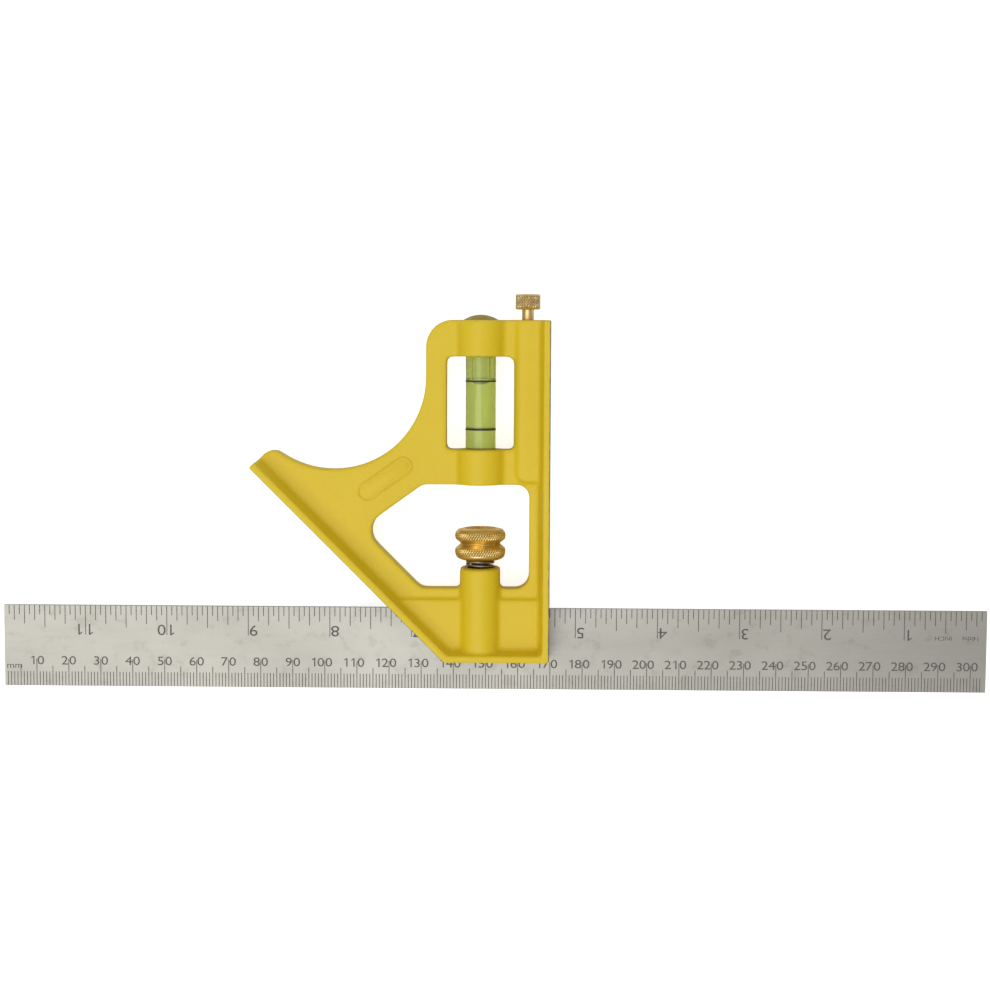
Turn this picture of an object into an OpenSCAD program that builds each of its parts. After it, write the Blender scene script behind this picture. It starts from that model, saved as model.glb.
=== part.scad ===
// Combination square: a sliding steel rule clamped in a cast head with a square face, a mitre face,
// a spirit vial and a scriber. It lies flat. X = 0 is the square face, Y = 0 is the seat that the
// rule's upper edge bears on, and Z = 0 is the plane of the head's rear flanges.

/* [Rule] */
// Length of the rule
rule_l = 304.8; // [250:0.1:400]
// Width of the rule
rule_w = 25.4; // [24:0.1:27]
// Thickness of the rule
rule_t = 1.2; // [1:0.1:1.6]
// Distance from the rule's metric end to the square face
rule_at = 169.65; // [120:0.05:200]
// Width of the clamp groove in the rule's back
groove_w = 3.2; // [2.8:0.1:4]
// Depth of the clamp groove
groove_deep = 0.55; // [0.4:0.05:0.7]
// Distance from the rule's seated edge to the groove
groove_in = 9.5; // [8:0.1:10]

/* [Head casting] */
// Thickness of the head over its flanges
head_t = 20; // [20:0.5:24]
// Height of the head above the seat
head_top = 88.9; // [86:0.1:95]
// Depth of the head below the seat
head_foot = 15.8; // [15:0.05:18]
// Distance from the square face to the mitre face, along the seat
mitre_at = 48; // [47:0.1:50]
// Distance along the mitre face from below the origin to the toe
toe_at = 95.85; // [94:0.05:98]
// Radius of the toe
toe_r = 4; // [3:0.1:5]
// Distance from the square face to the head's upper left side
shoulder_at = 38.2; // [37:0.1:40]
// Radius of the upper left corner
shoulder_r = 8.2; // [4:0.1:9]
// Radius of the hollow between shoulder and toe
hollow_r = 28.6; // [27:0.1:30]
// Height of the hollow's centre above the seat
hollow_y = 71.5; // [70:0.1:73]
// Width of the flange along the working faces
flange_w = 2.8; // [2.4:0.1:3]
// Thickness of the web
web_t = 6.8; // [6:0.1:8]
// Thickness of the web around the rule slot
slot_web_t = 9.4; // [9:0.1:11]
// Height of the thick web above the seat
slot_web_top = 3; // [2:0.1:5]

/* [Windows] */
// Width of the vial window
vial_window_w = 20.8; // [20:0.1:22]
// Lower edge of the vial window above the seat
vial_window_low = 49.3; // [49:0.1:51]
// Upper edge of the vial window above the seat
vial_window_high = 77.7; // [76:0.1:79]
// Radius of the vial window's corners
vial_window_r = 1.4; // [1:0.1:2.5]
// Upper edge of the big window above the seat
window_high = 38.4; // [37:0.1:39]
// Lower edge of the big window above the seat
window_low = 6.4; // [6:0.1:8]
// Width of the column between the big window and the square face
column_w = 6.35; // [6:0.05:7]
// Width of the rib along the mitre face
rib_w = 10.45; // [10:0.05:11]
// Slope of the big window's upper left edge in degrees
window_slope = 35.8; // [34:0.1:38]
// Distance from the square face to the top of that sloping edge
window_slope_at = 39.1; // [38:0.1:41]

/* [Clamp] */
// Distance from the square face to the clamp and vial axis
axis_at = 21.45; // [21:0.05:22]
// Radius of the clamp boss
clamp_boss_r = 6.2; // [6:0.1:6.6]
// Height of the clamp boss above the seat
clamp_boss_top = 12.65; // [12:0.05:14]
// Radius of the draw bolt
bolt_r = 3; // [2.8:0.05:3.1]
// Pitch of the clamp thread
thread_pitch = 1; // [0.8:0.05:1.25]
// Greatest radius of the clamp nut
nut_r = 7.88; // [7:0.02:8.2]
// Length of the clamp nut
nut_l = 10; // [9.6:0.1:11]
// Gap between clamp boss and nut
nut_gap = 2.3; // [2:0.1:3]
// Outer radius of the spring
spring_r = 4.45; // [4.2:0.05:4.5]
// Diameter of the spring wire
spring_wire = 0.75; // [0.6:0.05:0.8]
// Turns of the spring
spring_turns = 10; // [8:1:11]
// Depth of the spring's counterbore
spring_well = 8.65; // [8:0.05:9]

/* [Vial] */
// Radius of the vial
vial_r = 4.6; // [4.4:0.05:4.65]
// Radius of the vial's cavity
cavity_r = 3.3; // [3:0.05:3.5]
// Radius of the bubble
bubble_r = 2.4; // [2:0.05:2.6]
// Lower end of the bubble above the seat
bubble_low = 70.7; // [68:0.1:74]
// Height of the upper index line above the seat
index_high = 70.2; // [69:0.1:72]
// Height of the lower index line above the seat
index_low = 55.4; // [54:0.1:57]
// Width of an index line
index_w = 0.7; // [0.4:0.05:0.9]
// Radius of the domed cap over the vial
cap_r = 5.3; // [5:0.05:6]
// Rise of the domed cap
cap_rise = 1.6; // [1:0.1:2.5]
// Half width of the vial boss where it meets the web
vial_boss_half = 7; // [6.6:0.1:7.6]

/* [Scriber] */
// Distance from the square face to the scriber's axis
scriber_at = 7.1; // [7:0.05:7.3]
// Radius of the scriber's knob
knob_r = 3.9; // [3.5:0.05:4]
// Length of the scriber's knob
knob_l = 4.7; // [4:0.1:5]
// Gap between knob and head
knob_gap = 3.2; // [3.2:0.1:4]
// Radius of the scriber's stem
stem_r = 1.78; // [1.6:0.02:1.8]
// Length of the scriber's stem below the knob
stem_l = 22; // [20:0.5:24]
// Radius of the needle
needle_r = 0.8; // [0.6:0.05:0.9]
// Distance from the knob to the needle's point
needle_reach = 48.3; // [47:0.1:48.5]
// Radius of the raised ridge over the scriber
ridge_r = 5; // [4.8:0.1:5.2]

/* [Hidden] */

$fn = 64;
mid = head_t / 2; // plane of the rule and of every bore
far = 200; // reach of a cut that runs right through
slot_play = 0.1; // play of the rule in its slot, each side
seat_gap = 0.02; // oil film between the rule and its seat
fit_gap = 0.05; // radial play of a running fit
loose_gap = 0.2; // radial play of the spring's well and the scriber's bore
bed_film = 0.15; // radial thickness of the compound round the vial
edge_r = 0.8; // rounding of the casting's outer corners
arc_steps = 10; // segments of a rounded corner

// head outline
toe_k = sqrt(2) * (toe_at - toe_r);
hollow_c = [-(shoulder_at + hollow_r), hollow_y];
toe_m = (toe_k + hollow_c[0] + hollow_c[1]) / 2;
toe_h = (hollow_c[1] - toe_k - hollow_c[0]) / 2;
toe_c_y = toe_m - sqrt(pow(hollow_r + toe_r, 2) / 2 - toe_h * toe_h);
toe_c = [toe_c_y - toe_k, toe_c_y]; // centre of the toe's round, touching the hollow and the end line
toe_turn = atan2(hollow_c[1] - toe_c[1], hollow_c[0] - toe_c[0]);
toe_tip = [-(mitre_at + sqrt(2) * toe_at) / 2, (sqrt(2) * toe_at - mitre_at) / 2];
mitre_foot = [head_foot - mitre_at, -head_foot];

// heights along the clamp axis
press_room = 0.7; // room under the bolt for pressing it in
bolt_sunk = 1.2; // depth of the bolt's end inside the nut's mouth
nut_low = clamp_boss_top + nut_gap;
nut_high = nut_low + nut_l;
well_low = clamp_boss_top - spring_well;
bore_low = 0.8 - head_foot;
bolt_low = bore_low + press_room;
bolt_high = nut_high - bolt_sunk;

// the bolt's flat, which faces the rule's back, and the lip on it
flat_gap = 0.08;
flat_high = 0.7;
bolt_flat = mid - rule_t / 2 - flat_gap;
lip_root = 0.5; // depth of the lip's foot inside the bolt
lip_h = groove_w - press_room;
lip_high = -groove_in - seat_gap - fit_gap;
lip_tip = mid - rule_t / 2 + groove_deep - 0.1;

// heights along the vial
vial_low = window_high + 2.8;
vial_high = head_top - 3;
bed_t = 1.3;
vial_floor = 2.5;
plug_t = 3;
bubble_end = 1; // rounding of the bubble's ends, along its length
bubble_high = vial_high - plug_t - 0.3;
ink_t = 0.1;

// heights along the scriber
knob_low = head_top + knob_gap;
needle_low = knob_low - needle_reach;
needle_point = 3.2;
needle_in = 8; // length of the needle held in the stem
bush_wall = 0.47;
bush_l = 8.7;
bush_sunk = 0.2; // depth of the bush's end below the head's top
scriber_floor = window_high + 1.9;

function unit(v) = v / norm(v);

function arc(centre, r, from, to, steps = arc_steps) =
    [for (i = [0 : steps])
        let (a = from + (to - from) * i / steps)
        centre + r * [cos(a), sin(a)]];

// one corner of an outline, at b between a and c, rounded to radius r
function corner(a, b, c, r) =
    let (
        u = unit(a - b),
        w = unit(c - b),
        half = acos(u * w) / 2,
        centre = b + unit(u + w) * r / sin(half),
        p = b + u * r / tan(half) - centre,
        q = b + w * r / tan(half) - centre,
        from = atan2(p[1], p[0]),
        turn = atan2(p[0] * q[1] - p[1] * q[0], p * q)
    )
    arc(centre, r, from, from + turn);

// an outline from a list of [x, y, corner radius]
function rounded(list) =
    let (n = len(list), p = [for (v = list) [v[0], v[1]]])
    [for (i = [0 : n - 1]) each corner(p[(i + n - 1) % n], p[i], p[(i + 1) % n], list[i][2])];

// a solid of revolution about the line parallel to Y at x, from a list of [radius, y]
module turned(x, profile) {
    translate([x, 0, mid])
        rotate([-90, 0, 0])
            rotate_extrude()
                polygon(profile);
}

// a round bar or bore parallel to Y
module rod(x, r, low, high) {
    translate([x, low, mid])
        rotate([-90, 0, 0])
            cylinder(r = r, h = high - low);
}

// a slab of the given thickness, centred on the mid plane
module slab(t) {
    translate([0, 0, mid - t / 2])
        linear_extrude(t)
            children();
}

module head_outline() {
    square_low = corner(mitre_foot, [0, -head_foot], [0, head_top], edge_r);
    square_high = corner([0, -head_foot], [0, head_top], [-shoulder_at, head_top], edge_r / 2);
    shoulder = corner([0, head_top], [-shoulder_at, head_top], [-shoulder_at, hollow_y], shoulder_r);
    hollow = arc(hollow_c, hollow_r, 0, toe_turn - 180, 3 * arc_steps);
    toe = arc(toe_c, toe_r, toe_turn, 135);
    polygon(concat(square_low, square_high, shoulder, hollow, toe, [toe_tip, mitre_foot]));
}

// everything inside the flanges of the three working faces
module flange_pocket() {
    inner_mitre = flange_w * sqrt(2) - mitre_at;
    low = flange_w - head_foot;
    polygon(rounded([
        [-flange_w, far, 1],
        [inner_mitre - far, far, 1],
        [inner_mitre - low, low, 1.5],
        [-flange_w, low, 1.5]
    ]));
}

module vial_window() {
    left = -axis_at - vial_window_w / 2;
    right = -axis_at + vial_window_w / 2;
    polygon(rounded([
        [left, vial_window_low, vial_window_r],
        [right, vial_window_low, vial_window_r],
        [right, vial_window_high, vial_window_r * 1.6],
        [left, vial_window_high, vial_window_r]
    ]));
}

module big_window() {
    rib_line = rib_w * sqrt(2) - mitre_at; // x + y along the edge beside the mitre rib
    slope = tan(window_slope);
    nose_x = (rib_line - window_high - slope * window_slope_at) / (1 + slope);
    polygon(rounded([
        [-column_w, window_low, 4],
        [-column_w, window_high, 3.8],
        [-window_slope_at, window_high, 3],
        [nose_x, rib_line - nose_x, 5.8],
        [rib_line - window_low, window_low, 4]
    ]));
}

// the boss that carries the draw bolt: flat-sided, round on the front and the back
module clamp_boss() {
    round_off = 2.4;
    translate([-axis_at, flange_w / 2 - head_foot, mid])
        rotate([-90, 0, 0])
            linear_extrude(clamp_boss_top + head_foot - flange_w / 2)
                hull() {
                    translate([0, round_off]) circle(r = clamp_boss_r);
                    translate([0, -round_off]) circle(r = clamp_boss_r);
                }
}

module head_body() {
    difference() {
        union() {
            slab(head_t) difference() {
                head_outline();
                flange_pocket();
            }
            slab(web_t) head_outline();
            slab(slot_web_t) intersection() {
                head_outline();
                translate([-far, -far]) square([far, far + slot_web_top]);
            }
            rod(-axis_at, norm([vial_boss_half, web_t / 2]), window_high, head_top);
            rod(-scriber_at, ridge_r, window_high, head_top);
        }
        slab(head_t + 1) vial_window();
        slab(head_t + 1) big_window();
    }
    clamp_boss();
}

module head_casting() {
    color("gold")
        difference() {
            head_body();
            translate([-far / 2, -far, mid - rule_t / 2 - slot_play])
                cube([far, far, rule_t + 2 * slot_play]);
            rod(-axis_at, vial_r + bed_film, vial_low - bed_t, head_top + 1);
            rod(-axis_at, bolt_r + fit_gap, bore_low, clamp_boss_top + 1);
            rod(-axis_at, spring_r + loose_gap, well_low, clamp_boss_top + 1);
            rod(-scriber_at, stem_r + fit_gap + bush_wall, head_top - bush_l - bush_sunk, head_top + 1);
            rod(-scriber_at, stem_r + loose_gap, scriber_floor, head_top);
        }
}

module blade() {
    color("gainsboro")
        difference() {
            translate([-rule_at, -seat_gap - rule_w, mid - rule_t / 2])
                cube([rule_l, rule_w, rule_t]);
            translate([-rule_at - 1, -seat_gap - groove_in - groove_w, mid - rule_t / 2 - 1])
                cube([rule_l + 2, groove_w, 1 + groove_deep]);
        }
}

// the lower half of the bolt is cut flat to pass behind the rule, and its lip hooks the groove
module clamp_bolt() {
    chamfer = thread_pitch * 0.6; // runs out the thread at the bolt's end
    lip_w = bolt_r * 1.4;
    color("dimgray")
        union() {
            difference() {
                turned(-axis_at, [[0, bolt_low], [bolt_r, bolt_low], [bolt_r, bolt_high - chamfer],
                    [bolt_r - chamfer, bolt_high], [0, bolt_high]]);
                translate([-axis_at - far / 2, flat_high - far, bolt_flat])
                    cube([far, far, far]);
            }
            translate([-axis_at - lip_w / 2, lip_high - lip_h, bolt_flat - lip_root])
                cube([lip_w, lip_h, lip_tip - bolt_flat + lip_root]);
        }
}

module clamp_nut() {
    land_r = nut_r * 0.66; // flat land at each end
    waist_r = nut_r * 0.73;
    disc = nut_l * 0.27; // distance from each end to its disc's crown
    low = nut_low + disc;
    high = nut_high - nut_l * 0.23;
    hole_r = bolt_r + fit_gap;
    rim = nut_r - land_r;
    band = 0.3; // half height of the cylindrical part of a disc
    waist = (low + high) / 2;
    crown = nut_high - high - band; // height of the upper disc's round
    recess = 1; // cone at the nut's mouth
    color("darkgoldenrod")
        turned(-axis_at, concat(
            [[hole_r, nut_low], [land_r, nut_low]],
            [for (a = [15 : 15 : 90]) [land_r + rim * sin(a), low - band - (disc - band) * cos(a)]],
            [[nut_r, low + band]],
            [[waist_r, waist - band / 2], [waist_r, waist + band / 2]],
            [[nut_r, high - band]],
            [for (a = [0 : 15 : 90]) [land_r + rim * cos(a), high + band + crown * sin(a)]],
            [[hole_r + recess, nut_high], [hole_r, nut_high - recess]]
        ));
}

// helical wire between the well's floor and the nut
module clamp_spring() {
    sides = 8;
    per_turn = 16;
    rings = spring_turns * per_turn;
    coil_r = spring_r - spring_wire / 2;
    end_in = spring_wire / 2 + 0.02; // distance of the wire's centre from each seat
    low = well_low + end_in;
    rise = nut_low - end_in - low;
    points = [for (i = [0 : rings], j = [0 : sides - 1])
        let (
            a = 360 * i / per_turn,
            b = 360 * j / sides,
            r = coil_r + spring_wire / 2 * cos(b)
        )
        [r * cos(a), low + rise * i / rings + spring_wire / 2 * sin(b), r * sin(a)]];
    skin = [for (i = [0 : rings - 1], j = [0 : sides - 1])
        let (k = (j + 1) % sides)
        [i * sides + j, i * sides + k, (i + 1) * sides + k, (i + 1) * sides + j]];
    start = [[for (j = [sides - 1 : -1 : 0]) j]];
    stop = [[for (j = [0 : sides - 1]) rings * sides + j]];
    color("darkslategray")
        translate([-axis_at, 0, mid])
            polyhedron(points, concat(skin, start, stop), convexity = 12);
}

module vial_tube() {
    color("lightcyan", 0.4)
        turned(-axis_at, [[0, vial_low], [vial_r, vial_low], [vial_r, vial_high], [cavity_r, vial_high],
            [cavity_r, vial_low + vial_floor], [0, vial_low + vial_floor]]);
}

module bubble_shape() {
    turned(-axis_at, concat(
        [[0, bubble_low]],
        [for (a = [-75 : 15 : 0]) [bubble_r * cos(a), bubble_low + bubble_end * (1 + sin(a))]],
        [for (a = [0 : 15 : 75]) [bubble_r * cos(a), bubble_high - bubble_end * (1 - sin(a))]],
        [[0, bubble_high]]
    ));
}

module vial_liquid() {
    color("yellowgreen", 0.7)
        difference() {
            rod(-axis_at, cavity_r, vial_low + vial_floor, vial_high - plug_t);
            bubble_shape();
        }
}

module vial_bubble() {
    color("honeydew", 0.4) bubble_shape();
}

module vial_plug() {
    color("ivory") rod(-axis_at, cavity_r, vial_high - plug_t, vial_high);
}

module index_line(height) {
    color("black")
        difference() {
            rod(-axis_at, vial_r + ink_t, height - index_w / 2, height + index_w / 2);
            rod(-axis_at, vial_r, height - index_w, height + index_w);
        }
}

module vial_index_upper() {
    index_line(index_high);
}

module vial_index_lower() {
    index_line(index_low);
}

module vial_bed_lower() {
    color("linen") rod(-axis_at, vial_r + bed_film, vial_low - bed_t, vial_low);
}

module vial_bed_upper() {
    color("linen") rod(-axis_at, vial_r + bed_film, vial_high, vial_high + bed_t);
}

module vial_cap() {
    dome_r = (cap_r * cap_r + cap_rise * cap_rise) / (2 * cap_rise);
    spread = asin(cap_r / dome_r);
    stem = vial_r + bed_film;
    color("peru")
        turned(-axis_at, concat(
            [[0, vial_high + bed_t], [stem, vial_high + bed_t], [stem, head_top], [cap_r, head_top]],
            [for (i = [7 : -1 : 1])
                [dome_r * sin(spread * i / 8), head_top + cap_rise - dome_r * (1 - cos(spread * i / 8))]],
            [[0, head_top + cap_rise]]
        ));
}

module scriber_handle() {
    chamfer = 0.45;
    lead_in = 0.3; // chamfer at the stem's lower end
    top = knob_low + knob_l;
    stem_low = knob_low - stem_l;
    color("burlywood")
        turned(-scriber_at, [
            [needle_r, stem_low], [stem_r - lead_in, stem_low],
            [stem_r, stem_low + 2 * lead_in], [stem_r, knob_low],
            [knob_r - chamfer, knob_low], [knob_r, knob_low + chamfer],
            [knob_r, top - chamfer], [knob_r - chamfer, top], [0, top],
            [0, stem_low + needle_in], [needle_r, stem_low + needle_in]]);
}

module scriber_needle() {
    color("slategray")
        turned(-scriber_at, [[0, needle_low], [needle_r, needle_low + needle_point],
            [needle_r, knob_low - stem_l + needle_in], [0, knob_low - stem_l + needle_in]]);
}

// split spring sleeve that grips the scriber's stem
module scriber_bush() {
    slit = 0.5;
    high = head_top - bush_sunk;
    color("goldenrod")
        difference() {
            rod(-scriber_at, stem_r + fit_gap + bush_wall, high - bush_l, high);
            rod(-scriber_at, stem_r + fit_gap, high - bush_l - 1, high + 1);
            translate([-scriber_at - slit / 2, high - bush_l - 1, mid])
                cube([slit, bush_l + 2, far]);
        }
}

head_casting();
blade();
clamp_bolt();
clamp_nut();
clamp_spring();
vial_tube();
vial_liquid();
vial_bubble();
vial_plug();
vial_index_upper();
vial_index_lower();
vial_bed_lower();
vial_bed_upper();
vial_cap();
scriber_handle();
scriber_needle();
scriber_bush();
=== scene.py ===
import math

import bmesh
import bpy
from mathutils import Matrix, Vector


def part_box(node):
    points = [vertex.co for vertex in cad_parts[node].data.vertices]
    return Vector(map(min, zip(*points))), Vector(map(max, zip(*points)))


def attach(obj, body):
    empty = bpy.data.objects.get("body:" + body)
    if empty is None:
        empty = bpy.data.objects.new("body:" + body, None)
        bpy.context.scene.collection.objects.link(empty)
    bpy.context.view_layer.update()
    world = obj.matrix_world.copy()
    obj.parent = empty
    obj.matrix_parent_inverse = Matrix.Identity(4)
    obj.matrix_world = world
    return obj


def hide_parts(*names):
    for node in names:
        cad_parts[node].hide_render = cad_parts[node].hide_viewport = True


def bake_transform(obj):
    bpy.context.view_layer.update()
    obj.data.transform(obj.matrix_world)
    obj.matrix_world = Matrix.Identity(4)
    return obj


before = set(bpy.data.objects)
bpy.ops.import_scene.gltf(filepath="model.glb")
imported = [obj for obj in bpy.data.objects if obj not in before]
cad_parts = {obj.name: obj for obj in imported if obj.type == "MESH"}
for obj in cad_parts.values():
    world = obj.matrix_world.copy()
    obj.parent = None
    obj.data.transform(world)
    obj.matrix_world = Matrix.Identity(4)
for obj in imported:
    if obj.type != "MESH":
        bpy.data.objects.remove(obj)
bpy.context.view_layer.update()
scene = bpy.context.scene
mm = 0.001  # the dictionaries are in millimetres, the meshes in metres
root2 = math.sqrt(2)
tiny = 0.0005  # points closer than this are one point
print("frame loaded:", len(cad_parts), "nodes")


# lowest and highest corners of a node, in millimetres
def cadSize(node):
    low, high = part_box(node)
    return low / mm, high / mm


headLow, headHigh = cadSize("head_casting")
ruleLow, ruleHigh = cadSize("blade")
nutLow, nutHigh = cadSize("clamp_nut")
boltLow, boltHigh = cadSize("clamp_bolt")
springLow, springHigh = cadSize("clamp_spring")
tubeLow, tubeHigh = cadSize("vial_tube")
capLow, capHigh = cadSize("vial_cap")
knobLow, knobHigh = cadSize("scriber_handle")
needleLow, needleHigh = cadSize("scriber_needle")
bushLow, bushHigh = cadSize("scriber_bush")

midPlane = headHigh.z / 2
clampAxis = (nutLow.x + nutHigh.x) / 2
scriberAxis = (knobLow.x + knobHigh.x) / 2


def linked(name, data):
    piece = bpy.data.objects.new(name, data)
    scene.collection.objects.link(piece)
    return piece


def evaluatedMesh(source):
    bpy.context.view_layer.update()
    graph = bpy.context.evaluated_depsgraph_get()
    return bpy.data.meshes.new_from_object(source.evaluated_get(graph))


def applyStack(piece):
    mesh = evaluatedMesh(piece)
    piece.modifiers.clear()
    piece.data = mesh


def curveToPiece(source, name):
    mesh = evaluatedMesh(source)
    bpy.data.objects.remove(source)
    return linked(name, mesh)


# merges doubles and turns the faces outwards
def closeUp(piece):
    work = bmesh.new()
    work.from_mesh(piece.data)
    bmesh.ops.remove_doubles(work, verts=work.verts, dist=tiny * mm)
    bmesh.ops.recalc_face_normals(work, faces=work.faces)
    if work.calc_volume(signed=True) < 0:
        bmesh.ops.reverse_faces(work, faces=work.faces)
    work.to_mesh(piece.data)
    work.free()


def place(piece, x, y, z):
    piece.data.transform(Matrix.Translation(Vector((x, y, z)) * mm))


def joined(name, parts):
    work = bmesh.new()
    for part in parts:
        work.from_mesh(part.data)
        bpy.data.objects.remove(part)
    mesh = bpy.data.meshes.new(name)
    work.to_mesh(mesh)
    work.free()
    return linked(name, mesh)


def smoothShade(piece, degrees=40):
    piece.data.shade_smooth()
    piece.data.set_sharp_from_angle(angle=math.radians(degrees))


def meshPiece(name, points, faces):
    mesh = bpy.data.meshes.new(name)
    mesh.from_pydata([Vector(p) * mm for p in points], [], faces)
    piece = linked(name, mesh)
    closeUp(piece)
    return piece


# takes the cutter away from the piece, and removes the cutter
def cut(piece, cutter):
    modifier = piece.modifiers.new("cut", "BOOLEAN")
    modifier.operation = "DIFFERENCE"
    modifier.solver = "MANIFOLD"
    modifier.object = cutter
    applyStack(piece)
    bpy.data.objects.remove(cutter)


def soften(piece, width, segments=2):
    bevel = piece.modifiers.new("edges", "BEVEL")
    bevel.width = width * mm
    bevel.segments = segments
    bevel.limit_method = "ANGLE"


def arcPoints(centre, radius, start, end, steps):
    angles = [math.radians(start + (end - start) * i / steps) for i in range(steps + 1)]
    middle = Vector(centre[:2])
    return [middle + radius * Vector((math.cos(a), math.sin(a))) for a in angles]


# a quarter of an ellipse between two corners of its box, leaving the first one upright
def quarter(first, last, steps=8):
    angles = [math.radians(90 * i / steps) for i in range(steps + 1)]
    wide, tall = first[0] - last[0], last[1] - first[1]
    return [Vector((last[0] + wide * math.cos(a), first[1] + tall * math.sin(a))) for a in angles]


def roundCorner(before, corner, after, radius, steps=8):
    inward, onward = (before - corner).normalized(), (after - corner).normalized()
    half = math.acos(max(-1, min(1, inward.dot(onward)))) / 2
    straight = math.radians(89.5)
    if radius <= 0 or half > straight:
        return [corner]
    centre = corner + (inward + onward).normalized() * radius / math.sin(half)
    first = corner + inward * radius / math.tan(half) - centre
    last = corner + onward * radius / math.tan(half) - centre
    start = math.degrees(math.atan2(first.y, first.x))
    turn = math.degrees(math.atan2(first.x * last.y - first.y * last.x, first.dot(last)))
    return arcPoints(centre, radius, start, start + turn, steps)


# a closed outline from corners given as (x, y, radius)
def roundedLoop(corners):
    spots = [Vector(c[:2]) for c in corners]
    loop = []
    for i, corner in enumerate(corners):
        loop += roundCorner(spots[i - 1], spots[i], spots[(i + 1) % len(spots)], corner[2])
    return loop


# an open profile from corners given as (radius, height, corner radius)
def roundedLine(corners, steps=5):
    spots = [Vector(c[:2]) for c in corners]
    line = [spots[0]]
    for i in range(1, len(spots) - 1):
        line += roundCorner(spots[i - 1], spots[i], spots[i + 1], corners[i][2], steps)
    return line + [spots[-1]]


# a flat plate between two heights, from an outline and the outlines of its holes
def plate(name, loops, low, high):
    curve = bpy.data.curves.new(name, "CURVE")
    curve.dimensions = "2D"
    curve.fill_mode = "BOTH"
    curve.extrude = (high - low) / 2 * mm
    for loop in loops:
        spline = curve.splines.new("POLY")
        spline.points.add(len(loop) - 1)
        for point, spot in zip(spline.points, loop):
            point.co = (spot[0] * mm, spot[1] * mm, 0, 1)
        spline.use_cyclic_u = True
    piece = curveToPiece(linked(name + "Curve", curve), name)
    closeUp(piece)
    place(piece, 0, 0, (low + high) / 2)
    return piece


# a shape turned about the line along Y at axisX; the profile is (radius, height)
def turned(name, profile, axisX, steps=96):
    mesh = bpy.data.meshes.new(name)
    points = [(p[0] * mm, p[1] * mm, 0) for p in profile]
    mesh.from_pydata(points, [(i, i + 1) for i in range(len(points) - 1)], [])
    piece = linked(name, mesh)
    screw = piece.modifiers.new("turn", "SCREW")
    screw.axis = "Y"
    screw.steps = screw.render_steps = steps
    screw.use_merge_vertices = True
    screw.merge_threshold = tiny * mm
    applyStack(piece)
    closeUp(piece)
    place(piece, axisX, 0, midPlane)
    return piece


# skins a row of equal rings and caps both ends
def lofted(name, rings):
    count = len(rings[0])
    points = [p for ring in rings for p in ring]
    faces = [list(range(count))[::-1], [(len(rings) - 1) * count + j for j in range(count)]]
    for i in range(len(rings) - 1):
        for j in range(count):
            k = (j + 1) % count
            faces.append([i * count + j, i * count + k, (i + 1) * count + k, (i + 1) * count + j])
    return meshPiece(name, points, faces)


boxFaces = [(0, 1, 3, 2), (4, 6, 7, 5), (0, 4, 5, 1), (2, 3, 7, 6), (0, 2, 6, 4), (1, 5, 7, 3)]


def boxPoints(low, high):
    return [(x, y, z) for x in (low[0], high[0]) for y in (low[1], high[1]) for z in (low[2], high[2])]


def box(name, low, high):
    return meshPiece(name, boxPoints(low, high), boxFaces)


def barrel(name, radius, axisX, low, high, steps=72):
    return turned(name, [(0, high), (radius, high), (radius, low), (0, low)], axisX, steps)


head = {
    "mitreAt": 48.0,  # square face to mitre face along the rule
    "toeAt": 95.85,
    "toeRadius": 4.0,
    "shoulderAt": 38.2,
    "shoulderRadius": 8.2,
    "shoulderSteps": 12,
    "toeSteps": 10,
    "hollowSteps": 36,
    "hollowRadius": 28.6,
    "hollowHeight": 71.5,
    "web": 6.8,
    "webIn": 1.0,  # the web's edges stop this far inside the flanges
    "slotWeb": 9.4,
    "slotWebTop": 3.0,
    "flangeLip": 2.1,  # width of a flange at its front edge
    "flangeFoot": 3.55,  # and where its wall meets the web
    "machined": 0.3,  # stock taken off the two working faces
    "windowSide": 10.4,
    "windowLow": 49.3,
    "windowHigh": 77.7,
    "windowRounds": (1.2, 1.4, 2.4, 1.5),  # from the lower left corner, anticlockwise
    "bigTop": 38.4,
    "bigLow": 6.4,
    "column": 6.35,
    "mitreRib": 10.45,
    "bigSlope": 35.8,
    "bigSlopeAt": 39.1,
    "bigRounds": (4.2, 3.8, 3.0, 5.8, 4.2),  # from the lower right corner, anticlockwise
    "vialBoss": 7.78,
    "clampBoss": 6.2,
    "clampBossFlat": 2.4,
    "clampBossTop": 12.65,
    "clampBossEdge": 0.55,
    "clampBossLow": 2.0,
    "clampBossFoot": (2.6, 1.6),  # its lower end is domed, by this much in and up
    "footRows": 6,
    "edgeRows": 4,
    "slotGap": 0.7,  # half height of the rule's slot
    "vialPlay": 0.15,
    "vialWell": 1.3,  # depth of the bores below what they hold
    "boltWell": 0.8,
    "springPlay": 0.2,
    "springWell": 0.65,  # the spring goes down with the bolt when the rule is freed
    "scriberPlay": 0.2,
    "scriberFloor": 40.3,
    "cornerLow": 1.1,  # rounds at the two ends of the square face
    "cornerHigh": 0.45,
    "voxel": 0.41,
    "fillet": 0.36,
    "cutOut": 10,  # the cutters run well past the casting
    "cutAlong": 200,
    "cutLow": -5,
    "cutHigh": 30,
}
ridge = {
    "left": 10.75, "crest": 8.1, "right": 2.4, "rise": 5.0, "sunk": 0.6,
    "end": 38.9, "round": 3.5, "ramp": 1.3,  # its rounded lower end
    "pull": 0.6,  # how far the crest follows the left side there
    "skirt": (0.5, 0.9),  # what lies under the web's surface, out and down
    "foot": 0.1, "fall": 0.12,
    "rampRows": 8, "roundRows": 6,
}
badge = {
    "length": 19.0, "height": 5.4, "at": (-50.7, 40.1), "turn": 35.5,
    "rim": 0.3, "margin": 1.0, "sunk": 0.4, "rise": 0.2, "edge": 0.12,
}


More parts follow.
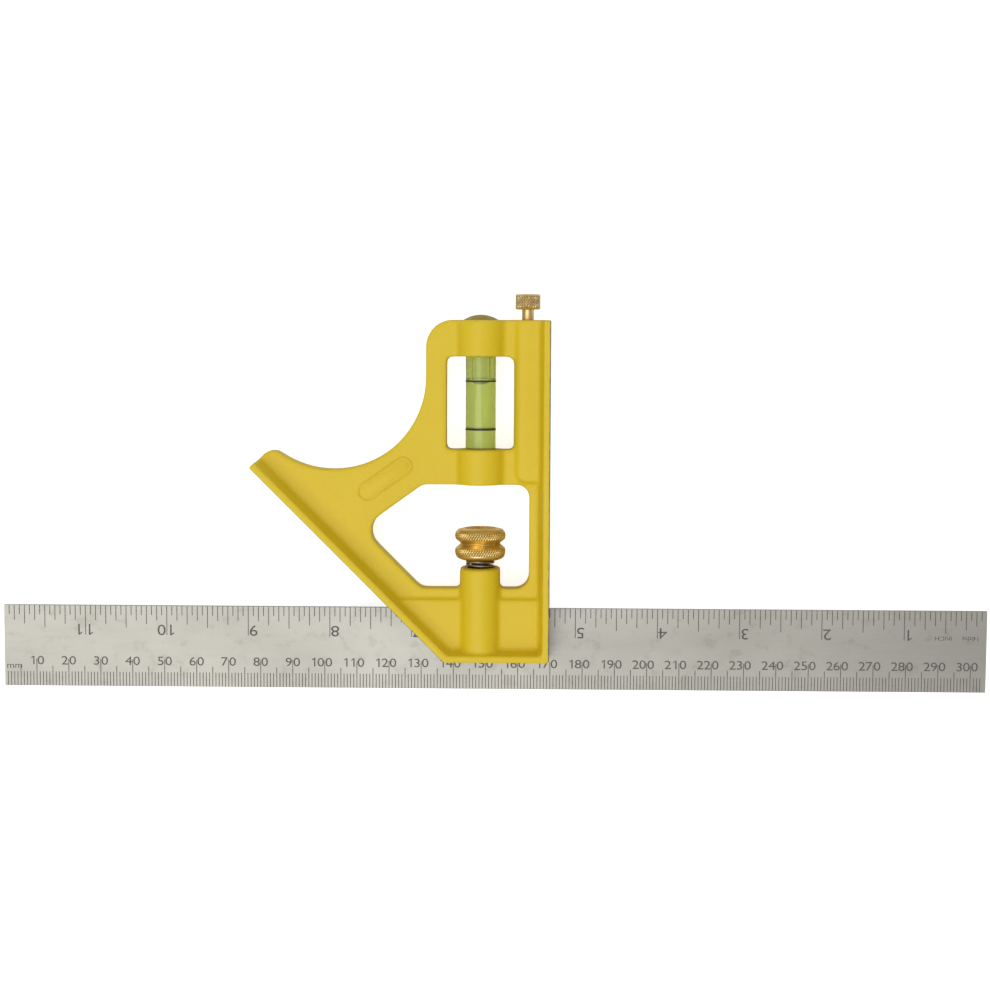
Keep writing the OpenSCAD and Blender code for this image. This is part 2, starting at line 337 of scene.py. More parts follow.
# the web's outline; along the working faces it stops inside the flanges
def headOutline():
    inset = head["webIn"]
    along = root2 * (head["toeAt"] - head["toeRadius"])
    centre = Vector((-(head["shoulderAt"] + head["hollowRadius"]), head["hollowHeight"]))
    middle = (along + centre.x + centre.y) / 2
    spread = (centre.y - along - centre.x) / 2
    toeY = middle - math.sqrt((head["hollowRadius"] + head["toeRadius"]) ** 2 / 2 - spread ** 2)
    toe = Vector((toeY - along, toeY))
    touch = math.degrees(math.atan2(centre.y - toe.y, centre.x - toe.x))
    mitre = root2 * inset - head["mitreAt"]
    endX = (mitre - root2 * head["toeAt"]) / 2
    top, low = headHigh.y, headLow.y + inset
    loop = [Vector((mitre - low, low)), Vector((-inset, low)), Vector((-inset, top))]
    corner = Vector((-head["shoulderAt"], top))
    below = Vector((corner.x, 0))
    radius, steps = head["shoulderRadius"], head["shoulderSteps"]
    loop += roundCorner(Vector((0, top)), corner, below, radius, steps)
    loop += arcPoints(centre, head["hollowRadius"], 0, touch - 180, head["hollowSteps"])
    loop += arcPoints(toe, head["toeRadius"], touch, 135, head["toeSteps"])[1:]
    loop.append(Vector((endX, mitre - endX)))
    return loop


def vialWindow():
    left, right = clampAxis - head["windowSide"], clampAxis + head["windowSide"]
    low, high = head["windowLow"], head["windowHigh"]
    corners = [(left, low), (right, low), (right, high), (left, high)]
    return roundedLoop([(*c, r) for c, r in zip(corners, head["windowRounds"])])


def bigWindow():
    rib = head["mitreRib"] * root2 - head["mitreAt"]
    slope = math.tan(math.radians(head["bigSlope"]))
    nose = (rib - head["bigTop"] - slope * head["bigSlopeAt"]) / (1 + slope)
    corners = [
        (-head["column"], head["bigLow"]),
        (-head["column"], head["bigTop"]),
        (-head["bigSlopeAt"], head["bigTop"]),
        (nose, rib - nose),
        (rib - head["bigLow"], head["bigLow"]),
    ]
    return roundedLoop([(*c, r) for c, r in zip(corners, head["bigRounds"])])


# the flanges' line at an inset from the working faces and from the foot
def flangePath(working, foot):
    mitre = root2 * working - head["mitreAt"]
    along = root2 * head["toeAt"]
    low = headLow.y + foot
    return [
        ((mitre - along) / 2, (mitre + along) / 2),
        (mitre - low, low),
        (-working, low),
        (-working, headHigh.y),
    ]


def flanges():
    lip, foot, half = head["flangeLip"], head["flangeFoot"], head["web"] / 2
    section = [
        (-head["machined"], 0, headLow.z),
        (lip, lip, headLow.z),
        (foot, foot, midPlane - half),
        (foot, foot, midPlane + half),
        (lip, lip, headHigh.z),
        (-head["machined"], 0, headHigh.z),
    ]
    lines = [(flangePath(working, low), z) for working, low, z in section]
    rings = [[(*line[k], z) for line, z in lines] for k in range(4)]
    return lofted("flanges", rings)


# a ring across the Y axis: two half rounds joined by flats
def stadiumRing(radius, flat, y, steps=16):
    ring = []
    for side, start in ((1, 0), (-1, 180)):
        for i in range(steps + 1):
            a = math.radians(start + 180 * i / steps)
            across, up = radius * math.cos(a), side * flat + radius * math.sin(a)
            ring.append((clampAxis + across, y, midPlane + up))
    return ring


def clampBoss():
    low, high = headLow.y + head["clampBossLow"], head["clampBossTop"]
    radius, flat, edge = head["clampBoss"], head["clampBossFlat"], head["clampBossEdge"]
    foot, footHigh = head["clampBossFoot"]
    rings = []
    for i in range(head["footRows"] + 1):
        a = math.radians(90 * i / head["footRows"])
        inset = foot * (1 - math.sin(a))
        rings.append(stadiumRing(radius - inset, flat, low + footHigh * (1 - math.cos(a))))
    for i in range(head["edgeRows"] + 1):
        a = math.radians(90 * i / head["edgeRows"])
        inset = edge * (1 - math.cos(a))
        rings.append(stadiumRing(radius - inset, flat, high - edge * (1 - math.sin(a))))
    return lofted("clampBoss", rings)


# the raised rib over the scriber, which runs into the flange and fades out at its lower end
def scriberRidge():
    web, rise = head["web"] / 2, ridge["rise"]
    bottom, end, ramp = web - ridge["sunk"], ridge["end"], ridge["ramp"]

    def shiftAt(y):
        inward = max(0, 1 - (y - end) / ridge["round"])
        return ridge["round"] * (1 - math.sqrt(1 - inward ** 2))

    rows = []
    for i in range(ridge["rampRows"] + 1):
        a = math.radians(90 * i / ridge["rampRows"])
        rows.append((end + ramp * (1 - math.cos(a)), bottom + (rise - bottom) * math.sin(a)))
    for i in range(1, ridge["roundRows"] + 1):
        rows.append((end + ramp + (ridge["round"] - ramp) * i / ridge["roundRows"], rise))
    rows.append((headHigh.y, rise))
    skins = []
    for y, high in rows:
        shift = shiftAt(y)
        left, crest = ridge["left"] - shift, ridge["crest"] - shift * ridge["pull"]
        shoulder = quarter((left, web - ridge["foot"]), (crest, high), 7)
        upper = [(-left - ridge["skirt"][0], web - ridge["skirt"][1])] + [(-p.x, p.y) for p in shoulder]
        upper.append((-ridge["right"], high - ridge["fall"]))
        ring = [(x, y, midPlane + z) for x, z in upper]
        ring += [(x, y, midPlane - z) for x, z in reversed(upper)]
        skins.append(ring)
    return lofted("scriberRidge", skins)


# a plain raised badge with a rim, on the web beside the mitre
def plainBadge():
    radius, run = badge["height"] / 2, (badge["length"] - badge["height"]) / 2
    spot = Matrix.Translation(Vector((*badge["at"], midPlane + head["web"] / 2)) * mm)
    turn = Matrix.Rotation(math.radians(badge["turn"]), 4, "Z")

    def oval(r):
        return arcPoints((run, 0), r, -90, 90, 12) + arcPoints((-run, 0), r, 90, 270, 12)

    curve = bpy.data.curves.new("badgeRim", "CURVE")
    curve.dimensions = "3D"
    curve.bevel_depth = badge["rim"] * mm
    curve.bevel_resolution = 3
    spline = curve.splines.new("POLY")
    loop = oval(radius)
    spline.points.add(len(loop) - 1)
    for point, p in zip(spline.points, loop):
        point.co = (p.x * mm, p.y * mm, 0, 1)
    spline.use_cyclic_u = True
    rim = curveToPiece(linked("badgeCurve", curve), "badgeRim")
    closeUp(rim)
    panel = plate("badgePanel", [oval(radius - badge["margin"])], -badge["sunk"], badge["rise"])
    soften(panel, badge["edge"])
    applyStack(panel)
    for piece in (rim, panel):
        piece.data.transform(spot @ turn)
    return [rim, panel]


# the waste outside a rounded corner of the square face
def cornerWaste(y, side, radius):
    centre = (-radius, y + side * radius)
    arc = arcPoints(centre, radius, 0, -90 * side, 8)
    out = 1
    outer = [(-radius, y - side * out), (out, y - side * out), (out, centre[1])]
    return plate("cornerWaste", [arc + [Vector(p) for p in outer]], head["cutLow"], head["cutHigh"])


# overlapping solids are skinned over, then the skin's inner corners are filled with fillets
def castSkin(piece):
    def remesh():
        modifier = piece.modifiers.new("skin", "REMESH")
        modifier.mode = "VOXEL"
        modifier.voxel_size = head["voxel"] * mm

    def swell(amount):
        modifier = piece.modifiers.new("swell", "DISPLACE")
        modifier.strength = amount * mm
        modifier.mid_level = 0

    remesh()
    swell(head["fillet"])
    remesh()
    swell(-head["fillet"])
    remesh()
    smooth = piece.modifiers.new("smooth", "SMOOTH")
    smooth.factor = 0.5
    smooth.iterations = 2
    applyStack(piece)


def castHead():
    web, thick, top = head["web"] / 2, head["slotWeb"] / 2, head["slotWebTop"]
    inset = head["webIn"]
    mitre, low = root2 * inset - head["mitreAt"], headLow.y + inset
    slotWeb = [(mitre - low, low), (-inset, low), (-inset, top), (mitre - top, top)]
    piece = joined("headCasting", [
        plate("web", [headOutline(), vialWindow(), bigWindow()], midPlane - web, midPlane + web),
        plate("slotWeb", [slotWeb], midPlane - thick, midPlane + thick),
        flanges(),
        barrel("vialBossTop", head["vialBoss"], clampAxis, head["windowHigh"], headHigh.y),
        barrel("vialBossLow", head["vialBoss"], clampAxis, head["bigTop"], head["windowLow"]),
        clampBoss(),
        scriberRidge(),
    ])
    castSkin(piece)

    # the ground faces, the slot and the bores
    reach, past, gap = head["cutAlong"], head["cutOut"], head["slotGap"]
    back, front = head["cutLow"], head["cutHigh"]
    cut(piece, box("squareCut", (0, -reach, back), (past, reach, front)))
    mitreCut = box("mitreCut", (-past, -reach, back), (0, reach, front))
    turn = Matrix.Rotation(math.radians(45), 4, "Z")
    mitreCut.data.transform(Matrix.Translation(Vector((-head["mitreAt"], 0, 0)) * mm) @ turn)
    cut(piece, mitreCut)
    cut(piece, box("slotCut", (-reach, -reach, midPlane - gap), (reach, 0, midPlane + gap)))
    cut(piece, cornerWaste(headLow.y, 1, head["cornerLow"]))
    cut(piece, cornerWaste(headHigh.y, -1, head["cornerHigh"]))
    above, boltEnd = headHigh.y + past, head["clampBossTop"] + past
    tube, coil, bush = tubeHigh.x - clampAxis, springHigh.x - clampAxis, bushHigh.x - scriberAxis
    for axisX, radius, bottom, end in (
        (clampAxis, tube + head["vialPlay"], tubeLow.y - head["vialWell"], above),
        (clampAxis, bolt["radius"] + bolt["play"], headLow.y + head["boltWell"], boltEnd),
        (clampAxis, coil + head["springPlay"], springLow.y - head["springWell"], boltEnd),
        (scriberAxis, scriber["stem"] + head["scriberPlay"], head["scriberFloor"], above),
        (scriberAxis, bush, bushLow.y, above),
    ):
        cut(piece, barrel("bore", radius, axisX, bottom, end))
    piece = joined("headCasting", [piece] + plainBadge())
    smoothShade(piece)
    return piece


rule = {
    "grooveWide": 3.2,
    "grooveDeep": 0.55,
    "grooveIn": 9.5,
    "edge": 0.09,
    "markRise": 0.008,
    "markSink": 0.02,
    "markWide": 0.24,
    "markEdge": 0.1,  # plain metal between a mark and the rule's edge
    "mmMarks": {10: 8.5, 5: 6.3, 1: 4.5},  # heights, from the coarsest to the finest
    "inchMarks": {16: 9.2, 8: 6.9, 4: 5.9, 2: 4.7, 1: 3.0},
    "lastNumber": 300,
    "inch": 25.4,
    "inches": 12,
    "parts": 16,  # graduations to an inch
    "digitMm": 2.7,
    "digitInch": 3.35,
    "digitWide": 1.2,  # width of a digit against the plain font
    # the digit 1, one unit high
    "one": [(0.2, 0), (0.32, 0), (0.32, 1), (0.22, 1), (0.0, 0.82), (0.0, 0.7), (0.2, 0.85)],
    "mmSides": 1.25,  # middle of a digit from its mark
    "mmStep": 2.2,
    "inchSides": 1.65,
    "mmBase": 6.65,
    "inchBase": 5.95,
    "mmWord": (1.25, 0.7, 5.5),  # height, distance from the rule's end and from its edge
    "inchWords": {"16ths": (1.45, 2.6, 7.9), "INCH": (1.3, 10.8, 7.9)},
}


def rulePlate():
    low, high = ruleLow, ruleHigh
    grooveTop = high.y - rule["grooveIn"]
    grooveLow = grooveTop - rule["grooveWide"]
    floor = low.z + rule["grooveDeep"]
    section = [
        (low.y, low.z), (grooveLow, low.z), (grooveLow, floor), (grooveTop, floor), (grooveTop, low.z),
        (high.y, low.z), (high.y, high.z), (low.y, high.z),
    ]
    piece = lofted("rulePlate", [[(x, y, z) for y, z in section] for x in (low.x, high.x)])
    soften(piece, rule["edge"])
    smoothShade(piece)
    return piece


# marks are (middle, y low, y high)
def markBars(name, marks):
    low, high = ruleHigh.z - rule["markSink"], ruleHigh.z + rule["markRise"]
    half = rule["markWide"] / 2
    points, faces = [], []
    for x, y0, y1 in marks:
        n = len(points)
        points += boxPoints((x - half, y0, low), (x + half, y1, high))
        faces += [[n + i for i in face] for face in boxFaces]
    mesh = bpy.data.meshes.new(name)
    mesh.from_pydata([Vector(p) * mm for p in points], [], faces)
    return linked(name, mesh)


def metricTicks():
    marks = []
    for i in range(1, int(ruleHigh.x - ruleLow.x)):
        step = next(n for n in rule["mmMarks"] if i % n == 0)
        foot, tip = rule["markEdge"], rule["mmMarks"][step]
        marks.append((ruleLow.x + i, ruleLow.y + foot, ruleLow.y + tip))
    return markBars("metricTicks", marks)


def inchTicks():
    marks = []
    for i in range(1, rule["inches"] * rule["parts"]):
        step = next(n for n in rule["inchMarks"] if i % n == 0)
        x = ruleHigh.x - rule["inch"] * i / rule["parts"]
        foot, tip = rule["markEdge"], rule["inchMarks"][step]
        marks.append((x, ruleHigh.y - tip, ruleHigh.y - foot))
    return markBars("inchTicks", marks)


# a raised character or word with its lower left corner at the origin, and its width
def glyph(text, height):
    if text == "1":
        piece = plate("glyph", [[Vector(p) / mm for p in rule["one"]]], -10, 10)
    else:
        curve = bpy.data.curves.new("glyph", "FONT")
        curve.body = text
        curve.size = 1
        curve.extrude = 0.01
        curve.resolution_u = 4
        piece = curveToPiece(linked("glyphText", curve), "glyph")
        closeUp(piece)
    corners = [[v.co[axis] for v in piece.data.vertices] for axis in range(3)]
    low, high = [min(c) for c in corners], [max(c) for c in corners]
    scale = height * mm / (high[1] - low[1])
    wide = scale * rule["digitWide"]
    thick = (rule["markRise"] + rule["markSink"]) * mm / (high[2] - low[2])
    origin = Matrix.Translation((-low[0], -low[1], -high[2]))
    piece.data.transform(Matrix.Diagonal((wide, scale, thick, 1)) @ origin)
    return piece, (high[0] - low[0]) * wide / mm


def setGlyph(piece, x, y, turn=0):
    spot = Matrix.Translation(Vector((x, y, ruleHigh.z + rule["markRise"])) * mm)
    piece.data.transform(spot @ Matrix.Rotation(math.radians(turn), 4, "Z"))
    return piece


# the last digit stands right of its mark and the others left of it
def metricNumbers():
    parts = []
    base = ruleLow.y + rule["mmBase"]
    for value in range(10, rule["lastNumber"] + 1, 10):
        x = ruleLow.x + value
        text = str(value)
        last, width = glyph(text[-1], rule["digitMm"])
        parts.append(setGlyph(last, x + rule["mmSides"] - width / 2, base))
        for order, digit in enumerate(reversed(text[:-1])):
            other, width = glyph(digit, rule["digitMm"])
            left = x - rule["mmSides"] - rule["mmStep"] * order
            parts.append(setGlyph(other, left - width / 2, base))
    tall, along, inward = rule["mmWord"]
    unit, width = glyph("mm", tall)
    parts.append(setGlyph(unit, ruleLow.x + along, ruleLow.y + inward))
    return joined("metricNumbers", parts)


# the inch scale reads from the other side, so its digits are turned round
def inchNumbers():
    parts = []
    base = ruleHigh.y - rule["inchBase"]
    for value in range(1, rule["inches"]):
        x = ruleHigh.x - value * rule["inch"]
        for order, digit in enumerate(str(value)):
            shape, width = glyph(digit, rule["digitInch"])
            side = rule["inchSides"] if order == 0 else -rule["inchSides"]
            parts.append(setGlyph(shape, x + side + width / 2, base, 180))
    for word, (tall, along, inward) in rule["inchWords"].items():
        shape, width = glyph(word, tall)
        parts.append(setGlyph(shape, ruleHigh.x - along, ruleHigh.y - inward, 180))
    return joined("inchNumbers", parts)


nut = {
    "mouth": 4.9,
    "mouthDeep": 2.2,
    "land": 6.0,
    "brow": 0.55,  # the shoulder's corner, in from the band and down from the top
    "heel": 4.3,  # radius of the flat at the lower end
    "waist": 5.9,
    "waistAt": 5.2,
    "crown": 7.88,
    "bandEdge": 7.62,
    "bandHalf": 1.05,
    "bandLow": 2.75,  # middle of the lower knurled band, above the nut's end
    "bandHigh": 7.65,
    "flank": 0.35,  # slope between a band and the groove
    "flankRound": 0.5,
    "waistRound": 0.35,
    "browRound": 0.9,
    "step": 0.1,  # in from a band's edge, and past it
    "stepUp": 0.05,
    "browStep": 0.06,
    "mouthRounds": (0.15, 0.1),
    "rows": 16,  # faces up a band
    "perKnurl": 9,  # and round one knurl
    "knurls": 58,
    "knurlDeep": 0.32,
    "crossDeep": 0.16,
    "lean": 31,
}


# from one down to zero and back for each turn
def wave(turns):
    return abs(turns % 1 - 0.5) * 2


knurling = {
    "core": 0.5,  # nothing inside this radius is pressed
    "fade": 0.15,  # the grooves run out this close to a band's edge
}


# presses two crossing sets of grooves into a band; the second set may be shallower
def knurl(piece, axisX, middle, half, count, deep, crossDeep, lean):
    perTurn = 2 * math.pi
    pitch = count * math.tan(math.radians(lean))
    for vertex in piece.data.vertices:
        x, y, z = vertex.co.x / mm - axisX, vertex.co.y / mm, vertex.co.z / mm - midPlane
        radius = math.hypot(x, z)
        off = abs(y - middle)
        if off > half or radius < knurling["core"]:
            continue
        turn = math.atan2(z, x) * count / perTurn
        rise = (y - middle) * pitch / radius / perTurn
        press = max(deep * wave(turn + rise), crossDeep * wave(turn - rise))
        press *= min(1, (half - off) / knurling["fade"])
        scale = (radius - press) / radius
        vertex.co.x = (axisX + x * scale) * mm
        vertex.co.z = (midPlane + z * scale) * mm


# a slightly crowned band for a profile, from bottom to top
def crownedBand(radius, edge, middle, half, rows):
    steps = [2 * i / rows - 1 for i in range(rows + 1)]
    return [Vector((edge + (radius - edge) * (1 - t * t), middle + half * t)) for t in steps]


def clampNut():
    low, high, hole = nutLow.y, nutHigh.y, bolt["radius"] + bolt["play"]
    lowBand, highBand, half = low + nut["bandLow"], low + nut["bandHigh"], nut["bandHalf"]
    edge, waist, waistAt = nut["bandEdge"], nut["waist"], low + nut["waistAt"]
    rows, flank, flankRound = nut["rows"], nut["flank"], nut["flankRound"]
    step, up = nut["step"], nut["stepUp"]
    heel = quarter((edge, -(lowBand - half)), (nut["heel"], -low), 7)
    profile = [Vector((hole, low))] + [Vector((p.x, -p.y)) for p in reversed(heel)]
    profile += crownedBand(nut["crown"], edge, lowBand, half, rows)
    profile += roundedLine([
        (edge - step, lowBand + half + up, 0),
        (edge - flank, lowBand + half + flank, flankRound),
        (waist, waistAt, nut["waistRound"]),
        (edge - flank, highBand - half - flank, flankRound),
        (edge - step, highBand - half - up, 0),
    ])
    profile += crownedBand(nut["crown"], edge, highBand, half, rows)
    profile += roundedLine([
        (edge - nut["browStep"], highBand + half + up, 0),
        (edge - nut["brow"], high - nut["brow"], nut["browRound"]),
        (nut["land"], high, 0),
    ])[:-1]
    mouthLow = high - nut["mouthDeep"]
    rimRound, footRound = nut["mouthRounds"]
    profile += roundedLine([
        (nut["land"], high, 0), (nut["mouth"], high, rimRound),
        (hole, mouthLow, footRound), (hole, low, 0),
    ])[1:]
    piece = turned("clampNutBody", profile, clampAxis, nut["knurls"] * nut["perKnurl"])
    for middle in (lowBand, highBand):
        deep, crossDeep = nut["knurlDeep"], nut["crossDeep"]
        knurl(piece, clampAxis, middle, half, nut["knurls"], deep, crossDeep, nut["lean"])
    smoothShade(piece)
    return piece


bolt = {
    "radius": 3.0,
    "play": 0.05,
    "pitch": 1.0,
    "thread": 0.32,
    "threadFrom": 3.0,
    "endRound": 0.75,
    "endTall": 0.6,
    "endEdge": (0.15, 0.05),  # its edge is broken, out and down
    "chamfer": 0.3,
    "perTurn": 8,  # rows to a turn of the thread
    "skin": 0.05,  # what counts as the shank's surface
    "steps": 48,
    "flatTop": 0.7,
    "flatGap": 0.08,
    "lipHalf": 2.1,
    "lipTall": 2.5,
    "lipIn": 0.3,  # how far the lip stands in the rule's groove
    "lipGap": 0.07,
    "lipEdge": 0.15,
    "lipRoot": 0.5,
}


def clampBolt():
    low, high, radius = boltLow.y, boltHigh.y, bolt["radius"]
    below, end, chamfer = high - bolt["endTall"], radius - bolt["endRound"], bolt["chamfer"]
    out, down = bolt["endEdge"]
    rows = [(0, high), (end, high), (end + out, high - down)]
    rowTall = bolt["pitch"] / bolt["perTurn"]
    count = int((below - bolt["threadFrom"]) / rowTall)
    rows += [(radius, below - rowTall * i) for i in range(count + 1)]
    rows += [(radius, low + chamfer), (radius - chamfer, low), (0, low)]
    piece = turned("clampBoltShank", rows, clampAxis, bolt["steps"])
    for vertex in piece.data.vertices:
        x, y, z = vertex.co.x / mm - clampAxis, vertex.co.y / mm, vertex.co.z / mm - midPlane
        if math.hypot(x, z) < radius - bolt["skin"] or y < bolt["threadFrom"]:
            continue
        phase = y / bolt["pitch"] - math.atan2(z, x) / (2 * math.pi)
        scale = 1 - bolt["thread"] * wave(phase) / radius
        vertex.co.x = (clampAxis + x * scale) * mm
        vertex.co.z = (midPlane + z * scale) * mm
    flat, past = ruleLow.z - bolt["flatGap"], 3 * radius
    flatTop = (clampAxis + past, bolt["flatTop"], flat + past)
    cut(piece, box("flatCut", (clampAxis - past, low - past, flat), flatTop))
    lipTop = ruleHigh.y - rule["grooveIn"] - bolt["lipGap"]
    lipLow = lipTop - bolt["lipTall"]
    half, tip = bolt["lipHalf"], ruleLow.z + bolt["lipIn"]
    root = flat - bolt["lipRoot"]
    lip = box("lip", (clampAxis - half, lipLow, root), (clampAxis + half, lipTop, tip))
    soften(lip, bolt["lipEdge"])
    applyStack(lip)
    piece = joined("clampBoltShank", [piece, lip])
    smoothShade(piece)
    return piece


spring = {
    "wire": 0.75,
    "turns": 10,
    "perTurn": 28,
    "closed": 0.75,  # turns that lie flat at each end
    "creep": 0.06,  # the share of its rise that those turns keep
}


def clampSpring():
    radius = (springHigh.x - springLow.x) / 2 - spring["wire"] / 2
    low, high = springLow.y + spring["wire"] / 2, springHigh.y - spring["wire"] / 2
    count = spring["turns"] * spring["perTurn"]
    curve = bpy.data.curves.new("coil", "CURVE")
    curve.dimensions = "3D"
    curve.bevel_depth = spring["wire"] / 2 * mm
    curve.bevel_resolution = 3
    curve.use_fill_caps = True
    spline = curve.splines.new("POLY")
    spline.points.add(count)
    for i, point in enumerate(spline.points):
        a = 2 * math.pi * i / spring["perTurn"]
        t = i / count
        opened = (t * spring["turns"] - spring["closed"]) / (spring["turns"] - 2 * spring["closed"])
        rise = spring["creep"] * t + (1 - spring["creep"]) * min(max(opened, 0), 1)
        y = low + (high - low) * rise
        across, up = radius * math.cos(a), radius * math.sin(a)
        point.co = ((clampAxis + across) * mm, y * mm, (midPlane + up) * mm, 1)
    piece = curveToPiece(linked("coilCurve", curve), "clampSpringWire")
    closeUp(piece)
    piece.data.shade_smooth()
    return piece


vial = {
    "cavity": 3.3,
    "overlap": 0.02,  # the spirit reaches a hair into the wall, so that light bends at one surface
    "bubble": 2.6,
    "bubbleLow": 68.9,
    "bubbleFoot": 2.1,  # heights of the bubble's rounded ends
    "bubbleTop": 0.9,
    "bubbleSkin": 0.1,  # what counts as its surface
    "floor": 2.5,
    "plug": 3.0,
    "line": 0.5,  # width of an index line
    "headroom": 0.3,  # spirit over the bubble
    "floorRound": 0.6,
    "ends": (0.4, 0.2, 0.1),  # rounds of the tube's closed end and of its mouth, outside and in
    "capPlay": 0.12,
    "capEdge": (0.12, 0.1),  # the cap's rim is broken, in and up
    "capRows": 16,
}


def vialTube():
    low, high, cavity = tubeLow.y, tubeHigh.y, vial["cavity"]
    radius = tubeHigh.x - clampAxis
    closed, outer, inner = vial["ends"]
    profile = roundedLine([
        (0, low, 0), (radius, low, closed), (radius, high, outer), (cavity, high, inner),
        (cavity, low + vial["floor"], vial["floorRound"]), (0, low + vial["floor"], 0),
    ])
    piece = turned("vialTubeBody", profile, clampAxis)
    smoothShade(piece)
    return piece


# the spirit with the bubble's hollow in it
def vialSpirit():
    radius = vial["cavity"] + vial["overlap"]
    low = tubeLow.y + vial["floor"] - vial["overlap"]
    high = tubeHigh.y - vial["plug"]
    profile = roundedLine([
        (0, low, 0), (radius, low, vial["floorRound"]), (radius, high, vial["overlap"]), (0, high, 0),
    ])
    body = turned("spiritBody", profile, clampAxis)
    top, bottom, r = high - vial["headroom"], vial["bubbleLow"], vial["bubble"]
    foot, crown = vial["bubbleFoot"], vial["bubbleTop"]
    outline = [Vector((p.x, bottom + foot - p.y)) for p in reversed(quarter((r, 0), (0, foot), 10))]
    outline += [Vector((p.x, top - crown + p.y)) for p in quarter((r, 0), (0, crown), 8)]
    bubble = turned("bubbleHollow", outline, clampAxis)
    bubble.data.flip_normals()
    piece = joined("vialSpiritBody", [body, bubble])
    smoothShade(piece, 50)
    return piece


# an index line round the tube, narrower than the node that it stands for
def vialLine(name, node):
    low, high = cadSize(node)
    middle, half = (low.y + high.y) / 2, vial["line"] / 2
    radius = high.x - clampAxis
    wall = tubeHigh.x - clampAxis - vial["overlap"]
    section = [(wall, -half), (radius, -half), (radius, half), (wall, half), (wall, -half)]
    return turned(name, [(r, middle + y) for r, y in section], clampAxis)


def vialCap():
    base, rise = headHigh.y, capHigh.y - headHigh.y
    rim = capHigh.x - clampAxis
    dome = (rim * rim + rise * rise) / (2 * rise)
    spread = math.asin(rim / dome)
    stem = tubeHigh.x - clampAxis + vial["capPlay"]
    inward, up = vial["capEdge"]
    profile = [(0, capLow.y), (stem, capLow.y), (stem, base), (rim - inward, base), (rim, base + up)]
    for i in reversed(range(vial["capRows"])):
        a = spread * i / vial["capRows"]
        profile.append((dome * math.sin(a), base + rise - dome * (1 - math.cos(a))))
    piece = turned("vialCapDome", profile, clampAxis)
    smoothShade(piece, 50)
    return piece


scriber = {
    "stem": 1.78,
    "knob": 4.7,  # length of the knob
    "knurls": 28,
    "knurlDeep": 0.36,
    "lean": 42,
    "chamfer": 0.45,
    "needle": 0.8,
    "held": 8.0,
    "point": 3.2,
    "taper": (0.3, 0.6),  # the stem's lower end, in and up
    "rounds": (0.05, 0.1, 0.12, 0.1, 0.15),  # from the stem's lower end to the knob's top
    "needlePlay": 0.01,
    "needleRounds": (0.05, 0.8, 0.05),  # from the needle's top to its tip
    "tip": (0.06, 0.1),
    "needleSteps": 48,
    "rows": 30,
    "perKnurl": 10,
}


def scriberHandle():
    low, high = knobLow.y, knobHigh.y
    radius, stem, needle = knobHigh.x - scriberAxis, scriber["stem"], scriber["needle"]
    chamfer = scriber["chamfer"]
    start = high - scriber["knob"]
    middle, half = (start + high) / 2, (high - start) / 2 - chamfer
    inward, up = scriber["taper"]
    endRound, taperRound, neckRound, lowRound, topRound = scriber["rounds"]
    profile = roundedLine([
        (needle, low, 0), (stem - inward, low, endRound), (stem, low + up, taperRound),
        (stem, start, neckRound), (radius - chamfer, start, lowRound), (radius, start + chamfer, 0),
    ])
    profile += crownedBand(radius, radius, middle, half, scriber["rows"])
    crown = [(radius, high - chamfer, 0), (radius - chamfer, high, topRound), (0, high, 0)]
    profile += roundedLine(crown)[1:]
    held = low + scriber["held"]
    profile += [(0, held), (needle, held), (needle, low)]
    piece = turned("scriberKnob", profile, scriberAxis, scriber["knurls"] * scriber["perKnurl"])
    deep = scriber["knurlDeep"]
    knurl(piece, scriberAxis, middle, half, scriber["knurls"], deep, deep, scriber["lean"])
    smoothShade(piece)
    return piece


def scriberNeedle():
    radius = scriber["needle"] - scriber["needlePlay"]
    low, high = needleLow.y, needleHigh.y
    shoulder = low + scriber["point"]
    tip, up = scriber["tip"]
    topRound, shoulderRound, tipRound = scriber["needleRounds"]
    piece = turned("scriberPoint", roundedLine([
        (0, high, 0), (radius, high, topRound), (radius, shoulder, shoulderRound),
        (tip, low + up, tipRound), (0, low, 0),
    ]), scriberAxis, scriber["needleSteps"])
    smoothShade(piece, 50)
    return piece


def addNode(tree, kind, settings=None, inputs=None):
    made = tree.nodes.new(kind)
    for key, value in (settings or {}).items():
        setattr(made, key, value)
    for key, value in (inputs or {}).items():
        if isinstance(value, bpy.types.NodeSocket):
            tree.links.new(value, made.inputs[key])
        else:
            made.inputs[key].default_value = value
    return made


def maths(tree, operation, first, second=0.0, clamp=False):
    settings = {"operation": operation, "use_clamp": clamp}
    return addNode(tree, "ShaderNodeMath", settings, {0: first, 1: second}).outputs[0]


def times(tree, value, by):
    return maths(tree, "MULTIPLY", value, by)


# inputs are (name, kind, start value)
def newGroup(name, inputs, outputs):
    group = bpy.data.node_groups.new(name, "ShaderNodeTree")
    for label, kind, start in inputs:
        socket = group.interface.new_socket(label, in_out="INPUT", socket_type=kind)
        socket.default_value = start
    for label, kind in outputs:
        group.interface.new_socket(label, in_out="OUTPUT", socket_type=kind)
    return group, group.nodes.new("NodeGroupInput").outputs, group.nodes.new("NodeGroupOutput").inputs


